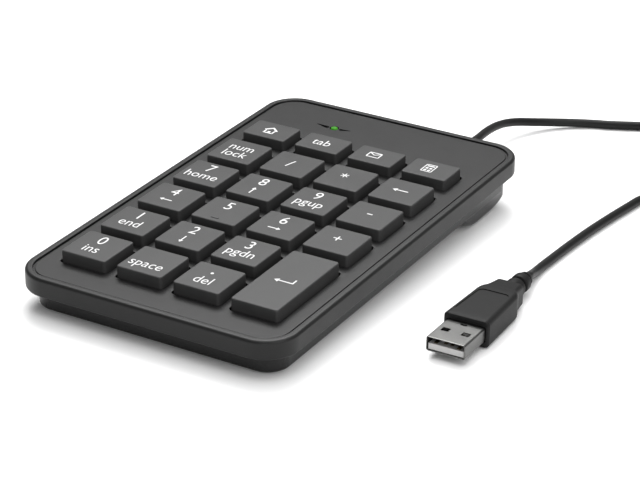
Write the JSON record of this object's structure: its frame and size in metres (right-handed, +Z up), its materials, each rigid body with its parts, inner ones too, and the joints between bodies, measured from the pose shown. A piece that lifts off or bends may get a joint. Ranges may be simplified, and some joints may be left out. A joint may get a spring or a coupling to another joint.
{
  "type": "numeric keypad",
  "caption": "Wired numeric keypad: a low black case with flat square keys, a tall enter key, a green status light, rubber feet and a coiled cord ending in a USB plug.",
  "frame": {"origin": "on the desk, below the middle of the case", "axes": "+Z up from the desk, +Y from the front row of keys towards the back where the cord leaves, +X to the right of someone using it"},
  "size_m": [0.1525, 0.2354, 0.0189],
  "materials": {
    "case_top": "fine matte texture, near black",
    "case_bottom": "satin, near black",
    "keycap": null,
    "film": "printed polyester film",
    "plate": "plain sheet steel",
    "dome_rubber": "silicone rubber",
    "board": "green solder mask",
    "chip": "black moulded package",
    "light": "green, translucent",
    "steel": "zinc plated",
    "foot_rubber": "dull black",
    "cord": "smooth black sheath",
    "tie": "soft black strap",
    "plug_metal": "satin nickel plate",
    "white": "white: the printed legends and the plug's insulator",
    "contact": "gold plated",
    "plug_grip": "matte black overmoulding"
  },
  "bodies": {
    "case": {"top_case": "case_top", "bottom_case": "case_bottom", "backplate": "plate", "membrane_lower": "film", "membrane_spacer": "film", "membrane_upper": "film", "dome_mat": "dome_rubber", "controller_board": "board", "controller_chip": "chip", "status_diode": "light", "status_lens": "light", "enter_stabiliser": "steel", "strain_relief": "cord", "case_screw_1": "steel", "case_screw_2": "steel", "case_screw_3": "steel", "case_screw_4": "steel", "case_screw_5": "steel", "case_screw_6": "steel", "foot_1": "foot_rubber", "foot_2": "foot_rubber", "foot_3": "foot_rubber", "foot_4": "foot_rubber", "cord_case_end": "cord", "cord_coil": "cord", "coil_tie": "tie", "cord_plug_end": "cord", "plug_overmould": "plug_grip", "plug_shell": "plug_metal", "plug_tongue": "white", "plug_contact_1": "contact", "plug_contact_2": "contact", "plug_contact_3": "contact", "plug_contact_4": "contact"},
    "key_0": {"key_0": "keycap"},
    "key_space": {"key_space": "keycap"},
    "key_point": {"key_point": "keycap"},
    "key_1": {"key_1": "keycap"},
    "key_2": {"key_2": "keycap"},
    "key_3": {"key_3": "keycap"},
    "key_4": {"key_4": "keycap"},
    "key_5": {"key_5": "keycap"},
    "key_6": {"key_6": "keycap"},
    "key_plus": {"key_plus": "keycap"},
    "key_7": {"key_7": "keycap"},
    "key_8": {"key_8": "keycap"},
    "key_9": {"key_9": "keycap"},
    "key_minus": {"key_minus": "keycap"},
    "key_num_lock": {"key_num_lock": "keycap"},
    "key_divide": {"key_divide": "keycap"},
    "key_multiply": {"key_multiply": "keycap"},
    "key_backspace": {"key_backspace": "keycap"},
    "key_home": {"key_home": "keycap"},
    "key_tab": {"key_tab": "keycap"},
    "key_mail": {"key_mail": "keycap"},
    "key_calculator": {"key_calculator": "keycap"},
    "key_enter": {"key_enter": "keycap"}
  },
  "joints": [
    {"name": "key_0_press", "type": "slide", "parent": "case", "child": "key_0", "axis": [0, -0.0327, 0.9995], "range_m": [-0.002, 0], "stiffness_N_per_m": 150, "springref_m": 0.002},
    {"name": "key_space_press", "type": "slide", "parent": "case", "child": "key_space", "axis": [0, -0.0327, 0.9995], "range_m": [-0.002, 0], "stiffness_N_per_m": 150, "springref_m": 0.002},
    {"name": "key_point_press", "type": "slide", "parent": "case", "child": "key_point", "axis": [0, -0.0327, 0.9995], "range_m": [-0.002, 0], "stiffness_N_per_m": 150, "springref_m": 0.002},
    {"name": "key_1_press", "type": "slide", "parent": "case", "child": "key_1", "axis": [0, -0.0327, 0.9995], "range_m": [-0.002, 0], "stiffness_N_per_m": 150, "springref_m": 0.002},
    {"name": "key_2_press", "type": "slide", "parent": "case", "child": "key_2", "axis": [0, -0.0327, 0.9995], "range_m": [-0.002, 0], "stiffness_N_per_m": 150, "springref_m": 0.002},
    {"name": "key_3_press", "type": "slide", "parent": "case", "child": "key_3", "axis": [0, -0.0327, 0.9995], "range_m": [-0.002, 0], "stiffness_N_per_m": 150, "springref_m": 0.002},
    {"name": "key_4_press", "type": "slide", "parent": "case", "child": "key_4", "axis": [0, -0.0327, 0.9995], "range_m": [-0.002, 0], "stiffness_N_per_m": 150, "springref_m": 0.002},
    {"name": "key_5_press", "type": "slide", "parent": "case", "child": "key_5", "axis": [0, -0.0327, 0.9995], "range_m": [-0.002, 0], "stiffness_N_per_m": 150, "springref_m": 0.002},
    {"name": "key_6_press", "type": "slide", "parent": "case", "child": "key_6", "axis": [0, -0.0327, 0.9995], "range_m": [-0.002, 0], "stiffness_N_per_m": 150, "springref_m": 0.002},
    {"name": "key_plus_press", "type": "slide", "parent": "case", "child": "key_plus", "axis": [0, -0.0327, 0.9995], "range_m": [-0.002, 0], "stiffness_N_per_m": 150, "springref_m": 0.002},
    {"name": "key_7_press", "type": "slide", "parent": "case", "child": "key_7", "axis": [0, -0.0327, 0.9995], "range_m": [-0.002, 0], "stiffness_N_per_m": 150, "springref_m": 0.002},
    {"name": "key_8_press", "type": "slide", "parent": "case", "child": "key_8", "axis": [0, -0.0327, 0.9995], "range_m": [-0.002, 0], "stiffness_N_per_m": 150, "springref_m": 0.002},
    {"name": "key_9_press", "type": "slide", "parent": "case", "child": "key_9", "axis": [0, -0.0327, 0.9995], "range_m": [-0.002, 0], "stiffness_N_per_m": 150, "springref_m": 0.002},
    {"name": "key_minus_press", "type": "slide", "parent": "case", "child": "key_minus", "axis": [0, -0.0327, 0.9995], "range_m": [-0.002, 0], "stiffness_N_per_m": 150, "springref_m": 0.002},
    {"name": "key_num_lock_press", "type": "slide", "parent": "case", "child": "key_num_lock", "axis": [0, -0.0327, 0.9995], "range_m": [-0.002, 0], "stiffness_N_per_m": 150, "springref_m": 0.002},
    {"name": "key_divide_press", "type": "slide", "parent": "case", "child": "key_divide", "axis": [0, -0.0327, 0.9995], "range_m": [-0.002, 0], "stiffness_N_per_m": 150, "springref_m": 0.002},
    {"name": "key_multiply_press", "type": "slide", "parent": "case", "child": "key_multiply", "axis": [0, -0.0327, 0.9995], "range_m": [-0.002, 0], "stiffness_N_per_m": 150, "springref_m": 0.002},
    {"name": "key_backspace_press", "type": "slide", "parent": "case", "child": "key_backspace", "axis": [0, -0.0327, 0.9995], "range_m": [-0.002, 0], "stiffness_N_per_m": 150, "springref_m": 0.002},
    {"name": "key_home_press", "type": "slide", "parent": "case", "child": "key_home", "axis": [0, -0.0327, 0.9995], "range_m": [-0.002, 0], "stiffness_N_per_m": 150, "springref_m": 0.002},
    {"name": "key_tab_press", "type": "slide", "parent": "case", "child": "key_tab", "axis": [0, -0.0327, 0.9995], "range_m": [-0.002, 0], "stiffness_N_per_m": 150, "springref_m": 0.002},
    {"name": "key_mail_press", "type": "slide", "parent": "case", "child": "key_mail", "axis": [0, -0.0327, 0.9995], "range_m": [-0.002, 0], "stiffness_N_per_m": 150, "springref_m": 0.002},
    {"name": "key_calculator_press", "type": "slide", "parent": "case", "child": "key_calculator", "axis": [0, -0.0327, 0.9995], "range_m": [-0.002, 0], "stiffness_N_per_m": 150, "springref_m": 0.002},
    {"name": "key_enter_press", "type": "slide", "parent": "case", "child": "key_enter", "axis": [0, -0.0327, 0.9995], "range_m": [-0.002, 0], "stiffness_N_per_m": 150, "springref_m": 0.002}
  ]
}
